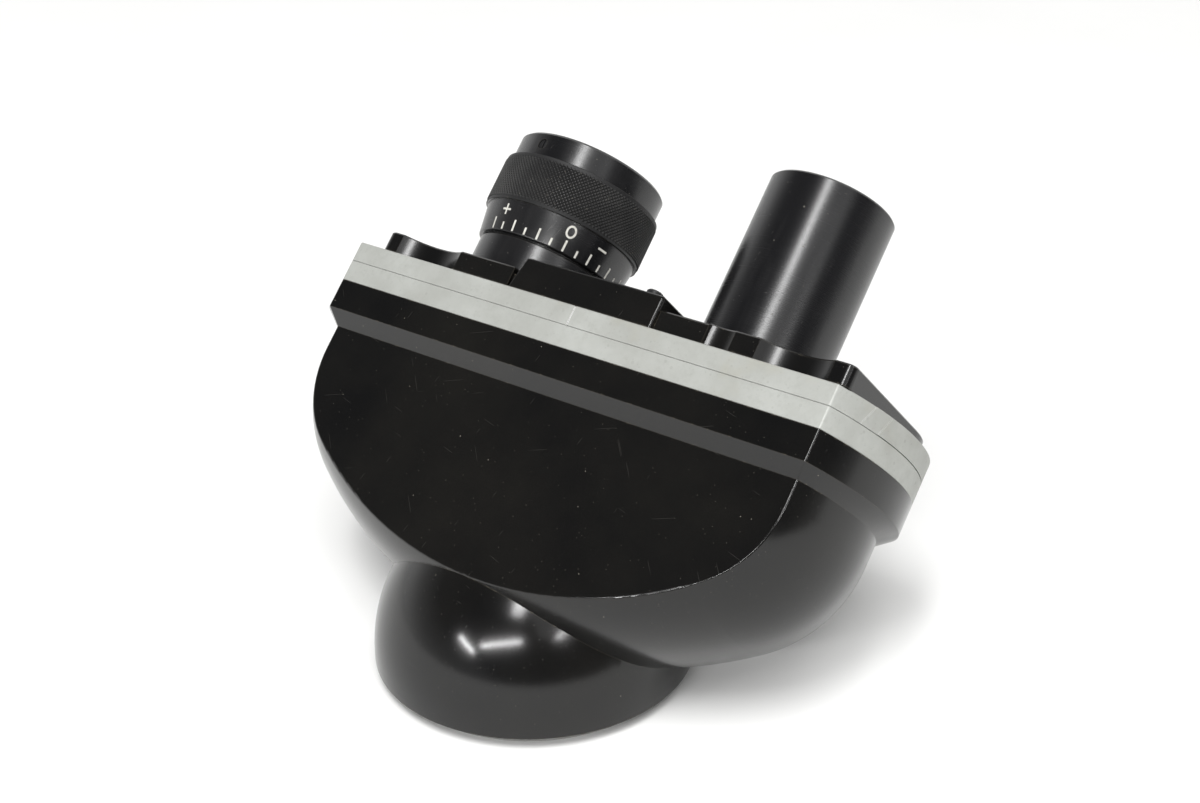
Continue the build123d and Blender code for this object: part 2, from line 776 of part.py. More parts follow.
# ---- side prisms in their carriers ---------------------------------------------------------------
prism_half = prism_size / 2
cheek_thickness = 1.8
carrier_top = slide_bottom - 0.03
carrier_reach = 1.7
for hand_name, side in (("left", -1), ("right", 1)):
    centre = side * half_spacing

    with BuildPart() as side_prism:
        with BuildSketch(upright(centre, 0, beam_w)):
            with BuildLine():
                Polyline(
                    (-side * prism_half, -prism_half),
                    (-side * prism_half, prism_half),
                    (side * prism_half, prism_half),
                    close=True,
                )
            make_face()
        extrude(amount=prism_half, both=True)
        chamfer(side_prism.edges(), 0.25)
    finish(side_prism, f"{hand_name}_side_prism")

    with BuildPart() as carrier:
        near = prism_half + running_gap
        far = near + cheek_thickness
        low = -prism_half - carrier_reach
        top = carrier_top - beam_w
        cheek_points = [
            (-prism_half, low),
            (-prism_half + 1.6, low),
            (prism_half + carrier_reach, prism_half - 1.6),
            (prism_half + carrier_reach, top),
            (-prism_half, top),
        ]
        back_points = [
            (-prism_half + 0.1, -prism_half - 0.1),
            (-prism_half + 0.1, low),
            (-prism_half + 1.6, low),
            (prism_half + carrier_reach, prism_half - 1.6),
            (prism_half + carrier_reach, prism_half - 0.1),
            (prism_half + 0.1, prism_half - 0.1),
        ]
        for v_side in (-1, 1):
            with BuildSketch(upright(centre, v_side * (near + far) / 2, beam_w)):
                with BuildLine():
                    Polyline(*[(side * u, w) for u, w in cheek_points], close=True)
                make_face()
            extrude(amount=cheek_thickness / 2, both=True)
        with BuildSketch(upright(centre, 0, beam_w)):
            with BuildLine():
                Polyline(*[(side * u, w) for u, w in back_points], close=True)
            make_face()
        extrude(amount=near + 0.1, both=True)
        for u, v in carrier_screw_offsets:
            boss_u = sorted((centre + side * (u - 2.0), centre + side * (u + 2.0)))
            boss_v = sorted((v - 2.0, v + 2.0))
            slab(carrier_top - 4.5, carrier_top, *boss_u, *boss_v)
        for u, v in carrier_screw_offsets:
            countersunk(carrier_screw, centre + side * u, v, screw_gap, Mode.SUBTRACT)
    finish(carrier, f"{hand_name}_prism_carrier")

    with BuildPart() as carrier_screws:
        for u, v in carrier_screw_offsets:
            countersunk(carrier_screw, centre + side * u, v)
    finish(carrier_screws, f"{hand_name}_carrier_screws")

# ---- grip plates ----------------------------------------------------------------------------------
grip_edge = plan_half_depth - grip_setback
grip_top = grip_gap + grip_thickness
grip_corner_radius = 13.0
nose_radius = 1.8
scallop_radius = ((scallop_width / 2) ** 2 + scallop_depth**2) / (2 * scallop_depth)
grip_setups = {
    "left": {
        "side": -1,
        "shoulder": 27.7,
        "scallop": 46.55,
        "end": 58.3,
        "tube": tube_radius,
        "flange": tube_flange_radius,
    },
    "right": {
        "side": 1,
        "shoulder": cover_right + 0.05,
        "scallop": 39.7,
        "end": 51.3,
        "tube": neck_radius,
        "flange": neck_flange_radius,
    },
}
end_lean = 1.8              # how far the end runs outwards before its rounded front corner
end_lean_v = -8.0
step_half_depth = 21.5      # the narrower length between shoulder and cover on the left plate

for hand_name, setup in grip_setups.items():
    side = setup["side"]
    centre = side * half_spacing
    with BuildPart() as grip_plate:
        with BuildSketch(level(grip_gap)):
            with BuildLine():
                Polyline(
                    (side * setup["shoulder"], -grip_edge),
                    (side * setup["shoulder"], grip_edge),
                    (side * setup["end"], grip_edge),
                    (side * (setup["end"] + end_lean), end_lean_v),
                    (side * (setup["end"] + end_lean), -grip_edge),
                    close=True,
                )
            make_face()
            with Locations((side * setup["scallop"], grip_edge - scallop_depth + scallop_radius)):
                Circle(scallop_radius, mode=Mode.SUBTRACT)
        extrude(amount=grip_thickness)
        outer_corners = grip_plate.edges().filter_by(Axis(head_origin, w_dir)).sort_by(Axis(head_origin, u_dir * side))
        fillet(outer_corners[-2:].sort_by(Axis(head_origin, v_dir))[0], grip_corner_radius)
        rear_corners = grip_plate.edges().filter_by(Axis(head_origin, w_dir)).group_by(Axis(head_origin, v_dir))[-1]
        fillet(rear_corners.sort_by(Axis(head_origin, u_dir * side))[-1], nose_radius)
        if hand_name == "left":
            slab(grip_gap, grip_top, -setup["shoulder"] - 1, cover_left - 0.15, -step_half_depth, step_half_depth)
            with BuildSketch(level(grip_gap)):
                with Locations((-31.0, grip_edge + 5.0)):
                    Circle(5.6)
            extrude(amount=grip_thickness, mode=Mode.SUBTRACT)
            tongue_u = (cover_left - 1.0, -cover_rib_half_width - 0.3)
        else:
            tongue_u = (cover_rib_half_width + 0.3, cover_right + 1.0)
        top_face = grip_plate.faces().sort_by(Axis(head_origin, w_dir))[-1]
        chamfer(top_face.outer_wire().edges(), grip_bevel)
        slab(grip_gap, grip_gap + tongue_thickness, *tongue_u, -tongue_half_depth, tongue_half_depth)
        drilled(setup["tube"] + running_gap, -1, 6, centre)
        drilled(setup["flange"] + running_gap, -1, flange_top + running_gap, centre)
        for screw, offsets in ((grip_screw, grip_screw_offsets), (tongue_screw, tongue_screw_offsets)):
            for u, v in offsets:
                countersunk(screw, centre + side * u, v, screw_gap, Mode.SUBTRACT)
    finish(grip_plate, f"{hand_name}_grip_plate")

    with BuildPart() as grip_screws:
        for screw, offsets in ((grip_screw, grip_screw_offsets), (tongue_screw, tongue_screw_offsets)):
            for u, v in offsets:
                countersunk(screw, centre + side * u, v)
    finish(grip_screws, f"{hand_name}_grip_screws")

# ---- middle cover with its friction spring ----------------------------------------------------------
cover_bottom = 0.03
cover_inner_top = cover_height - cover_roof
spring_screw_u = -12.3
spring_screw_v = 19.2
spring_thickness = 0.25
spring_half_width = 2.0
spring_points = [(-13.9, 3.65), (-10.9, 3.65), (-8.1, 3.12), (-5.7, 3.12), (-3.5, 3.55)]
with BuildPart() as middle_cover:
    with BuildSketch(upright()):
        with BuildLine():
            Polyline(
                (cover_left, cover_bottom),
                (cover_right, cover_bottom),
                (cover_right - cover_draft, cover_height),
                (cover_left, cover_height),
                close=True,
            )
        make_face()
    extrude(amount=grip_edge, both=True)
    bottom_edges = middle_cover.faces().sort_by(Axis(head_origin, w_dir))[0].edges()
    fillet(middle_cover.edges() - bottom_edges, cover_rounding)
    hollow_v = grip_edge - cover_skin
    for low, high in ((cover_left - 1, -cover_rib_half_width), (cover_rib_half_width, cover_right + 1)):
        slab(-1, cover_inner_top, low, high, -hollow_v, hollow_v, Mode.SUBTRACT)
    for place in cover_screw_places:
        countersunk(cover_screw, *place, screw_gap, Mode.SUBTRACT)
    drilled(0.9 + screw_gap, cover_inner_top - 1, cover_height + 1, spring_screw_u, spring_screw_v)
    drilled(tube_radius + cover_clearance, -1, cover_height + 1, -half_spacing)
    drilled(neck_radius + cover_clearance, -1, cover_height + 1, half_spacing)
finish(middle_cover, "middle_cover")

with BuildPart() as cover_screws:
    for place in cover_screw_places:
        countersunk(cover_screw, *place)
finish(cover_screws, "cover_screws")

with BuildPart() as friction_spring:
    with BuildSketch(upright(0, spring_screw_v)):
        with BuildLine():
            Polyline(*spring_points)
        trace(line_width=spring_thickness)
    extrude(amount=spring_half_width, both=True)
    drilled(0.9 + screw_gap, 0, 6, spring_screw_u, spring_screw_v)
finish(friction_spring, "friction_spring")

spring_screw_head = 1.7
with BuildPart() as spring_screw:
    turned([
        (0, 3.3),
        (0.9, 3.3),
        (0.9, cover_height + 0.03),
        (spring_screw_head, cover_height + 0.03),
        (spring_screw_head, cover_height + 0.8),
        (spring_screw_head - 0.3, cover_height + 1.1),
        (0, cover_height + 1.1),
    ], spring_screw_u, spring_screw_v)
    slab(
        cover_height + 0.5, cover_height + 2, spring_screw_u - 2, spring_screw_u + 2,
        spring_screw_v - 0.3, spring_screw_v + 0.3, Mode.SUBTRACT,
    )
finish(spring_screw, "spring_screw")

# ---- plain eyepiece tube ------------------------------------------------------------------------------
with BuildPart() as plain_tube:
    turned([
        (light_bore_radius, flange_bottom),
        (tube_flange_radius, flange_bottom),
        (tube_flange_radius, flange_top),
        (tube_radius, flange_top),
        (tube_radius, tube_top - 0.4),
        (tube_radius - 0.4, tube_top),
        (eyepiece_bore_radius + 0.4, tube_top),
        (eyepiece_bore_radius, tube_top - 0.4),
        (eyepiece_bore_radius, tube_shoulder),
        (light_bore_radius, tube_shoulder),
    ], -half_spacing)
finish(plain_tube, "plain_tube")

# ---- dioptre side ---------------------------------------------------------------------------------------
sleeve_travel = 3.0
guide_screw_w = 8.0
guide_screw_radius = 1.0
guide_screw_tip = sleeve_radius - 0.9
neck_bore = sleeve_radius + running_gap

with BuildPart() as dioptre_neck:
    turned([
        (neck_bore, flange_bottom),
        (neck_flange_radius, flange_bottom),
        (neck_flange_radius, flange_top),
        (neck_radius, flange_top),
        (neck_radius, neck_top - 0.3),
        (neck_radius - 0.3, neck_top),
        (neck_bearing_radius, neck_top),
        (neck_bearing_radius, neck_bearing_top),
        (neck_bore, neck_bearing_top),
    ], half_spacing)
    with BuildSketch(upright(half_spacing, 0, guide_screw_w)):
        Circle(guide_screw_radius + screw_gap)
    extrude(amount=neck_radius + 2, mode=Mode.SUBTRACT)
finish(dioptre_neck, "dioptre_neck")

with BuildPart() as guide_screw:
    with BuildSketch(upright(half_spacing, -guide_screw_tip, guide_screw_w)):
        Circle(guide_screw_radius)
    extrude(amount=neck_radius - guide_screw_tip - 0.1)
    slab(
        guide_screw_w - 0.2, guide_screw_w + 0.2, half_spacing - 2, half_spacing + 2,
        -neck_radius - 0.1, -neck_radius + 0.6, Mode.SUBTRACT,
    )
finish(guide_screw, "guide_screw")

ring_bore = neck_bearing_radius + running_gap
ring_wide_bore = collar_radius + 0.1
ring_shoulder = neck_bearing_top - 0.1
with BuildPart() as dioptre_ring:
    turned([
        (ring_bore, scale_bottom),
        (scale_low_radius - 0.3, scale_bottom),
        (scale_low_radius, scale_bottom + 0.3),
        (scale_radius, knurl_bottom),
        (knurl_radius - knurl_bevel, knurl_bottom),
        (knurl_radius, knurl_bottom + knurl_bevel),
        (knurl_radius, knurl_top - knurl_bevel),
        (knurl_radius - knurl_bevel, knurl_top),
        (ring_wide_bore, knurl_top),
        (ring_wide_bore, ring_shoulder),
        (ring_bore, ring_shoulder),
    ], half_spacing)
finish(dioptre_ring, "dioptre_ring")

with BuildPart() as ring_retainer:
    turned([
        (neck_bore + 0.1, neck_bearing_top + 0.03),
        (collar_radius - 0.3, neck_bearing_top + 0.03),
        (collar_radius - 0.3, neck_bearing_top + 1.0),
        (neck_bore + 0.1, neck_bearing_top + 1.0),
    ], half_spacing)
finish(ring_retainer, "ring_retainer")

set_screw_angle = 9.0       # round from the rear towards +u
set_screw_w = 32.6
set_screw_radius = 1.1
with BuildPart() as eyepiece_sleeve:
    turned([
        (light_bore_radius, sleeve_bottom),
        (sleeve_radius, sleeve_bottom),
        (sleeve_radius, collar_bottom),
        (collar_radius, collar_bottom),
        (collar_radius, collar_top - 0.5),
        (collar_radius - 0.5, collar_top),
        (eyepiece_bore_radius + 0.4, collar_top),
        (eyepiece_bore_radius, collar_top - 0.4),
        (eyepiece_bore_radius, sleeve_shoulder),
        (light_bore_radius, sleeve_shoulder),
    ], half_spacing)
    slot_half = sleeve_travel + guide_screw_radius + 0.1
    slab(
        guide_screw_w - slot_half, guide_screw_w + slot_half,
        half_spacing - guide_screw_radius - running_gap, half_spacing + guide_screw_radius + running_gap,
        -sleeve_radius - 0.1, -guide_screw_tip + 0.05, Mode.SUBTRACT,
    )
    set_screw_dir = v_dir * cos(radians(set_screw_angle)) + u_dir * sin(radians(set_screw_angle))
    set_screw_hole = Plane(
        origin=head_point(half_spacing, 0, set_screw_w) + set_screw_dir * (collar_radius - 2.6),
        x_dir=w_dir,
        z_dir=set_screw_dir,
    )
    with BuildSketch(set_screw_hole):
        Circle(set_screw_radius + screw_gap)
    extrude(amount=4, mode=Mode.SUBTRACT)
finish(eyepiece_sleeve, "eyepiece_sleeve")

with BuildPart() as sleeve_set_screw:
    with BuildSketch(set_screw_hole.offset(0.05)):
        Circle(set_screw_radius)
    extrude(amount=2.2)
    with BuildSketch(set_screw_hole.offset(1.7)):
        Rectangle(3, 0.4)
    extrude(amount=1.0, mode=Mode.SUBTRACT)
finish(sleeve_set_screw, "sleeve_set_screw")
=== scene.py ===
import json
import math

import bmesh
import bpy
from mathutils import Matrix, Vector


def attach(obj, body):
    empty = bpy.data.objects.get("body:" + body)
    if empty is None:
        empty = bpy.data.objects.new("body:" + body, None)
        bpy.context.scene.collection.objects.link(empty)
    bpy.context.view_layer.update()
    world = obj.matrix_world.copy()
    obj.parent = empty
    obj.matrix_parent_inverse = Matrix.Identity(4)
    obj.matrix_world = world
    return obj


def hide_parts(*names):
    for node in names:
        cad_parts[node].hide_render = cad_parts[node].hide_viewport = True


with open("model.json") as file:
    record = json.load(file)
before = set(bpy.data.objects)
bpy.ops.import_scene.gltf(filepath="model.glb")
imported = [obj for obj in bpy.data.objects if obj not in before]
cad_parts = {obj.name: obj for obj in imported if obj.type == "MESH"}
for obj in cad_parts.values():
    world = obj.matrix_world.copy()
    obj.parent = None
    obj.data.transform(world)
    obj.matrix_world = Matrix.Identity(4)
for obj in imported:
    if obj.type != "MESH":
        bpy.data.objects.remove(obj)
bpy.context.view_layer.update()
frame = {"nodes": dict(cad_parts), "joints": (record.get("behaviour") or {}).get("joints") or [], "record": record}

print("frame loaded:", len(frame["nodes"]), "nodes")

# places along the tubes: u to the user's right, v to the rear and up, w along the tubes
millimetre = 0.001
joints = {joint["name"]: joint for joint in frame["joints"]}
tubeDir = Vector(joints["dioptre_turn"]["axis"]).normalized()
rightDir = Vector((1, 0, 0))
rearDir = tubeDir.cross(rightDir)
tilt = math.atan2(rearDir.z, rearDir.y)
borePlace = 20.0          # height of the dioptre joint's point along its own axis
tubeOffset = joints["dioptre_turn"]["pos_m"][0] / millimetre
headOrigin = Vector(joints["dioptre_turn"]["pos_m"]) - tubeDir * borePlace * millimetre
headOrigin = headOrigin - rightDir * tubeOffset * millimetre


def headPoint(u, v, w):
    return headOrigin + (rightDir * u + rearDir * v + tubeDir * w) * millimetre


# view, light and table
view = {
    "place": (-0.20183, 0.23792, 0.21236),
    "aim": (0.0034, -0.0266, 0.0446),
    "roll": -0.9,
    "lens": 56.18,
    "sensor": 36.0,
    "nearest": 0.01,
    "farthest": 50.0,
}


def makeCamera():
    cameraData = bpy.data.cameras.new("viewCamera")
    cameraData.lens = view["lens"]
    cameraData.sensor_width = view["sensor"]
    cameraData.clip_start = view["nearest"]
    cameraData.clip_end = view["farthest"]
    camera = bpy.data.objects.new("viewCamera", cameraData)
    bpy.context.scene.collection.objects.link(camera)
    sight = Vector(view["aim"]) - Vector(view["place"])
    turn = sight.to_track_quat("-Z", "Y").to_matrix().to_4x4()
    roll = Matrix.Rotation(math.radians(view["roll"]), 4, "Z")
    camera.matrix_world = Matrix.Translation(view["place"]) @ turn @ roll
    bpy.context.scene.camera = camera


light = {
    "skyDir": (-0.30, 0.40, 0.87),       # soft main light, which glossy paint doesn't mirror
    "skyStrength": 2.10,
    "skySpread": 38.0,
    "middle": (0, 0, 0.04),              # what every lamp points at
    "distance": 2.0,
    "lamps": (
        # name, direction, width, height, lean in degrees, power
        ("barLightWide", (-0.21, 0.87, 0.445), 1.04, 0.048, 18.0, 11.5),
        ("barLightSteep", (0.20, 0.93, 0.31), 0.50, 0.048, -22.0, 6.0),
        ("barLightFar", (-0.76, 0.38, 0.52), 0.40, 0.060, 10.0, 3.2),
        ("streakLight", (-0.20, 0.47, 0.86), 0.24, 0.84, 0.0, 16.0),
        ("ceilingLight", (-0.60, 0.30, 0.74), 1.24, 1.10, 0.0, 3.0),
    ),
}


def addLight(name, kind, place, aim, **settings):
    lamp = bpy.data.lights.new(name, kind)
    for key, value in settings.items():
        setattr(lamp, key, value)
    holder = bpy.data.objects.new(name, lamp)
    bpy.context.scene.collection.objects.link(holder)
    turn = (Vector(aim) - Vector(place)).to_track_quat("-Z", "Y").to_matrix().to_4x4()
    holder.matrix_world = Matrix.Translation(place) @ turn
    return holder


def makeLights():
    middle = Vector(light["middle"])
    sky = Vector(light["skyDir"]).normalized()
    skyLight = addLight("skyLight", "SUN", middle + sky, middle,
                        energy=light["skyStrength"], angle=math.radians(light["skySpread"]))
    skyLight.visible_glossy = False
    for name, direction, width, height, lean, power in light["lamps"]:
        place = middle + Vector(direction).normalized() * light["distance"]
        lamp = addLight(name, "AREA", place, middle, shape="RECTANGLE",
                        size=width, size_y=height, energy=power)
        lamp.matrix_world = lamp.matrix_world @ Matrix.Rotation(math.radians(lean), 4, "Z")


# shader maths
class Field:
    # a socket that sums, products and comparisons can be written with
    def __init__(self, maker, socket):
        self.maker = maker
        self.socket = socket

    def maths(self, operation, first, second, clamp=False):
        settings = {"operation": operation, "use_clamp": clamp}
        return self.maker.node("ShaderNodeMath", settings, {0: first, 1: second})

    def __add__(self, other):
        return self.maths("ADD", self, other)

    def __radd__(self, other):
        return self.maths("ADD", other, self)

    def __sub__(self, other):
        return self.maths("SUBTRACT", self, other)

    def __rsub__(self, other):
        return self.maths("SUBTRACT", other, self)

    def __mul__(self, other):
        return self.maths("MULTIPLY", self, other)

    def __rmul__(self, other):
        return self.maths("MULTIPLY", other, self)

    def __lt__(self, other):
        return self.maths("LESS_THAN", self, other)

    def __gt__(self, other):
        return self.maths("GREATER_THAN", self, other)

    def clamped(self):
        return self.maths("ADD", self, 0.0, clamp=True)


class NodeMaker:
    # makes the nodes of one tree
    def __init__(self, tree):
        self.tree = tree

    def node(self, kind, settings=None, sockets=None, output=0):
        made = self.tree.nodes.new(kind)
        for key, value in (settings or {}).items():
            if key == "stops":
                ramp = made.color_ramp
                while len(ramp.elements) < len(value):
                    ramp.elements.new(0.5)
                for element, (position, shade) in zip(ramp.elements, value):
                    element.position = position
                    element.color = (*shade, 1) if isinstance(shade, tuple) else (shade, shade, shade, 1)
            else:
                setattr(made, key, value)
        for key, value in (sockets or {}).items():
            if isinstance(value, Field):
                self.tree.links.new(value.socket, made.inputs[key])
            else:
                made.inputs[key].default_value = value
        if isinstance(output, tuple):
            return [Field(self, made.outputs[name]) for name in output]
        return Field(self, made.outputs[output])

    def ramp(self, factor, *stops):
        return self.node("ShaderNodeValToRGB", {"stops": stops}, {0: factor})


marks = {
    "shift": (0.011, 0.007, 0.013),      # metres, moves each set of scratches elsewhere
    "hairline": 0.38,                    # widest scratch, as a part of its cell
    "edgeSamples": 6,
    "edgeGain": 6.0,
    "uprightGain": 14,
}


class Finish(NodeMaker):
    # one material: a Principled shader and the nodes that feed it
    def __init__(self, name, **fixed):
        self.material = bpy.data.materials.new(name)
        self.material.use_nodes = True
        super().__init__(self.material.node_tree)
        self.shader = self.tree.nodes["Principled BSDF"]
        for socketName, value in fixed.items():
            self.shader.inputs[socketName.replace("_", " ")].default_value = value
        place = self.node("ShaderNodeTexCoord", output="Object")
        # the same place along u, v and w, in metres
        self.place = self.node("ShaderNodeMapping", {}, {"Vector": place, "Rotation": (-tilt, 0, 0)})

    def feed(self, socketName, field):
        self.tree.links.new(field.socket, self.shader.inputs[socketName])

    def noise(self, scale, detail=3.0, roughness=0.5, place=None):
        sockets = {"Vector": place or self.place, "Scale": scale, "Detail": detail, "Roughness": roughness}
        return self.node("ShaderNodeTexNoise", {}, sockets)

    def stretched(self, size, turn=(0, 0, 0)):
        return self.node("ShaderNodeMapping", {}, {"Vector": self.place, "Scale": size, "Rotation": turn})

    def mix(self, factor, first, second):
        # a colour mix; its sockets stand at 6 and 7 and its result at output 2
        values = {0: factor}
        for key, value in ((6, first), (7, second)):
            values[key] = value if isinstance(value, Field) else (*value, 1)
        return self.node("ShaderNodeMix", {"data_type": "RGBA"}, values, output=2)

    def cells(self, place, scale):
        # the distance to the nearest cell's middle, and a number of that cell's own
        sockets = {"Vector": place, "Scale": scale}
        distance, colour = self.node("ShaderNodeTexVoronoi", {}, sockets, output=("Distance", "Color"))
        return distance, self.node("ShaderNodeSeparateColor", {}, {0: colour})

    def specks(self, scale, size, share):
        # small round marks: one in a cell, and only a share of the cells have one
        distance, chance = self.cells(self.place, scale)
        return (distance < chance * size) * (chance > 1 - share)

    def scratches(self, turn, length, width, share, seed):
        # one straight hairline in a long thin cell, and only a share of the cells have one
        shift = [seed * part for part in marks["shift"]]
        size = (length, width, width)
        sockets = {"Vector": self.place, "Rotation": turn, "Scale": size, "Location": shift}
        place = self.node("ShaderNodeMapping", {"vector_type": "TEXTURE"}, sockets)
        distance, chance = self.cells(place, 1.0)
        return (distance < marks["hairline"] * chance) * (chance > 1 - share)

    def dot(self, first, second):
        values = {0: first, 1: second}
        return self.node("ShaderNodeVectorMath", {"operation": "DOT_PRODUCT"}, values, output="Value")

    def edges(self, radius, upright=False):
        # 1 on an edge or corner and 0 on a flat or gently curved face; upright keeps those along w
        soft = self.node("ShaderNodeBevel", {"samples": marks["edgeSamples"]}, {"Radius": radius})
        plain = self.node("ShaderNodeNewGeometry", output="Normal")
        found = ((1 - self.dot(soft, plain)) * marks["edgeGain"]).clamped()
        if upright:
            lean = self.dot(soft, tubeDir)
            found = found * (1 - lean * lean * marks["uprightGain"]).clamped()
        return found

    def bump(self, height, strength, distance):
        values = {"Height": height, "Strength": strength, "Distance": distance}
        self.feed("Normal", self.node("ShaderNodeBump", {}, values))


print("shader tools ready")

# finishes
enamelLook = {
    "black": (0.0032, 0.0032, 0.0033),
    "faded": (0.0070, 0.0066, 0.0058),
    "dust": (0.20, 0.185, 0.15),
    # lighter colour for chipped edges and for the painted highlight that runs along every edge
    "chipAndEdgeHighlight": (0.22, 0.19, 0.14),
    "scratch": (0.20, 0.19, 0.17),
    "scratchWidth": 0.00012,             # metres, as are the lengths, edge widths and depths
    "cuts": (                            # turn and length of each set of scratches
        ((0, 0.35, 0), 0.007),
        ((0, -0.9, 0), 0.005),
        ((0, 1.3, 0.2), 0.008),
        ((0, -0.25, 0), 0.004),
    ),
    "seedStep": 3.7,
    "edgeWidth": 0.0004,
    "bump": 0.10,
    "bumpDepth": 0.00008,
}


def makeEnamel(name, dustShare=0.10, scratchShare=0.0018, roughness=0.10):
    look = enamelLook
    finish = Finish(name, IOR=1.52, Specular_IOR_Level=0.5)
    cloud = finish.noise(34.0, 4.0, 0.6)
    smear = finish.noise(9.0, 3.0, 0.55, finish.stretched((1.0, 1.0, 2.6), (0, 0.5, 0)))
    dust = finish.specks(480.0, 0.055, dustShare * 1.5)
    fineDust = finish.specks(1300.0, 0.13, dustShare * 1.4)
    scratched = 0.0
    for index, (turn, length) in enumerate(look["cuts"]):
        seed = index * look["seedStep"]
        scratched = finish.scratches(turn, length, look["scratchWidth"], scratchShare, seed) + scratched
    scratched = scratched.clamped()
    edge = finish.edges(look["edgeWidth"])
    # every edge gets a painted highlight (the 0.25 share) and, where the noise is high, chipped wear
    wearAndSheen = edge * (0.25 + (finish.noise(520.0, 3.0, 0.7) > 0.60)).clamped()
    colour = finish.mix(finish.ramp(cloud, (0.35, 0.0), (0.7, 1.0)), look["black"], look["faded"])
    colour = finish.mix(scratched * 0.07, colour, look["scratch"])
    colour = finish.mix((dust * 0.75 + fineDust * 0.16).clamped(), colour, look["dust"])
    colour = finish.mix(wearAndSheen * 0.35, colour, look["chipAndEdgeHighlight"])
    finish.feed("Base Color", colour)
    rough = roughness + smear * 0.10 + cloud * 0.05 + scratched * 0.14 + dust * 0.4 + fineDust * 0.12
    finish.feed("Roughness", rough.clamped())
    peel = finish.noise(620.0, 2.0, 0.5)
    finish.bump(peel * 0.35 + dust * 0.9 - scratched * 0.25, look["bump"], look["bumpDepth"])
    return finish.material


tubeLook = {
    "black": (0.0055, 0.0055, 0.0062),
    "wearAndSheen": (0.018, 0.0175, 0.018),
    "scratch": (0.25, 0.24, 0.22),
    "scratchWidth": 0.00012,
    "scratchShare": 0.003,
    # lighter colour on the edges: a painted edge highlight mixed with worn lacquer
    "edge": (0.16, 0.15, 0.12),
    "edgeWidth": 0.0003,
    "roughness": 0.19,
    "turning": 0.08,                     # how much the turning marks change the gloss
}


def makeTubeBlack(name):
    look = tubeLook
    finish = Finish(name, IOR=1.55, Specular_IOR_Level=0.55)
    # turning marks run round the tube, so they change mostly along w
    turned = finish.noise(1.0, 4.0, 0.7, finish.stretched((25.0, 25.0, 4200.0)))
    cloud = finish.noise(60.0, 4.0, 0.6)
    rubbed = finish.noise(1.0, 3.0, 0.6, finish.stretched((160.0, 160.0, 28.0)))
    width, share = look["scratchWidth"], look["scratchShare"]
    lines = finish.scratches((0.2, 0.35, 0.0), 0.005, width, share, 1.9)
    aroundLines = finish.scratches((0.0, 1.25, 0.15), 0.004, width, share, 5.3)
    scratched = (lines + aroundLines).clamped()
    dust = finish.specks(700.0, 0.12, 0.10)
    wearAndSheen = finish.edges(look["edgeWidth"])
    colour = finish.mix(finish.ramp(rubbed, (0.45, 0.0), (0.8, 1.0)), look["black"], look["wearAndSheen"])
    colour = finish.mix(scratched * 0.12, colour, look["scratch"])
    colour = finish.mix(dust * 0.35, colour, enamelLook["dust"])
    # edges lightened, patchy with the cloud: a painted edge highlight mixed with edge wear
    colour = finish.mix(wearAndSheen * 0.35 * cloud, colour, look["edge"])
    finish.feed("Base Color", colour)
    rough = look["roughness"] + turned * look["turning"] + cloud * 0.06 + scratched * 0.12 + dust * 0.3
    finish.feed("Roughness", rough.clamped())
    finish.bump(turned * 0.5 + cloud * 0.1 - scratched * 0.4 + dust * 0.6, 0.06, 0.00006)
    return finish.material


stripLook = {
    "bright": (0.44, 0.45, 0.425),
    "dull": (0.35, 0.355, 0.33),
    "stain": (0.40, 0.375, 0.275),
    "pit": (0.10, 0.09, 0.07),
    # near white: a painted highlight along the edges and upright corners
    "edge": (0.95, 0.95, 0.94),
    "edgeWidth": 0.0003,
    "roughness": 0.44,
    "metallic": 0.30,
}


def makeStrip(name):
    look = stripLook
    finish = Finish(name)
    grain = finish.noise(1.0, 4.0, 0.65, finish.stretched((160.0, 2600.0, 2600.0)))
    cloud = finish.noise(85.0, 4.0, 0.6)
    stainPatch = finish.noise(42.0, 4.0, 0.62)
    fleck = finish.noise(700.0, 3.0, 0.7)
    pits = finish.specks(620.0, 0.22, 0.20)
    finePits = finish.specks(1500.0, 0.26, 0.16)
    edge = finish.edges(look["edgeWidth"], upright=True)
    colour = finish.mix(finish.ramp(cloud, (0.35, 0.0), (0.72, 1.0)), look["bright"], look["dull"])
    stained = finish.ramp(stainPatch, (0.55, 0.0), (0.74, 0.55))
    colour = finish.mix(stained, colour, look["stain"])
    colour = finish.mix(finish.ramp(fleck, (0.50, 0.0), (0.74, 0.55)), colour, look["dull"])
    colour = finish.mix((pits * 0.08 + finePits * 0.12).clamped(), colour, look["pit"])
    # painted highlight on the edges and upright corners
    colour = finish.mix(edge * 0.85, colour, look["edge"])
    finish.feed("Base Color", colour)
    rough = look["roughness"] + cloud * 0.10 + grain * 0.08 + pits * 0.2 - edge * 0.16
    finish.feed("Roughness", rough.clamped())
    finish.feed("Metallic", look["metallic"] - edge * 0.2)
    finish.bump(grain * 0.6 + fleck * 0.25 - pits * 0.8 - finePits * 0.5, 0.16, 0.00006)
    return finish.material


metalLook = {
    # colour, darker patches, roughness, metallic
    "ringSteel": ((0.55, 0.55, 0.54), (0.42, 0.42, 0.41), 0.28, 1.0),
    "screwSteel": ((0.50, 0.50, 0.49), (0.36, 0.35, 0.34), 0.26, 1.0),
    "blackScrew": ((0.030, 0.030, 0.032), (0.016, 0.016, 0.016), 0.30, 0.4),
    "brass": ((0.66, 0.50, 0.22), (0.48, 0.35, 0.15), 0.26, 1.0),
    "innerBlack": ((0.030, 0.030, 0.031), (0.018, 0.018, 0.018), 0.55, 0.2),
}


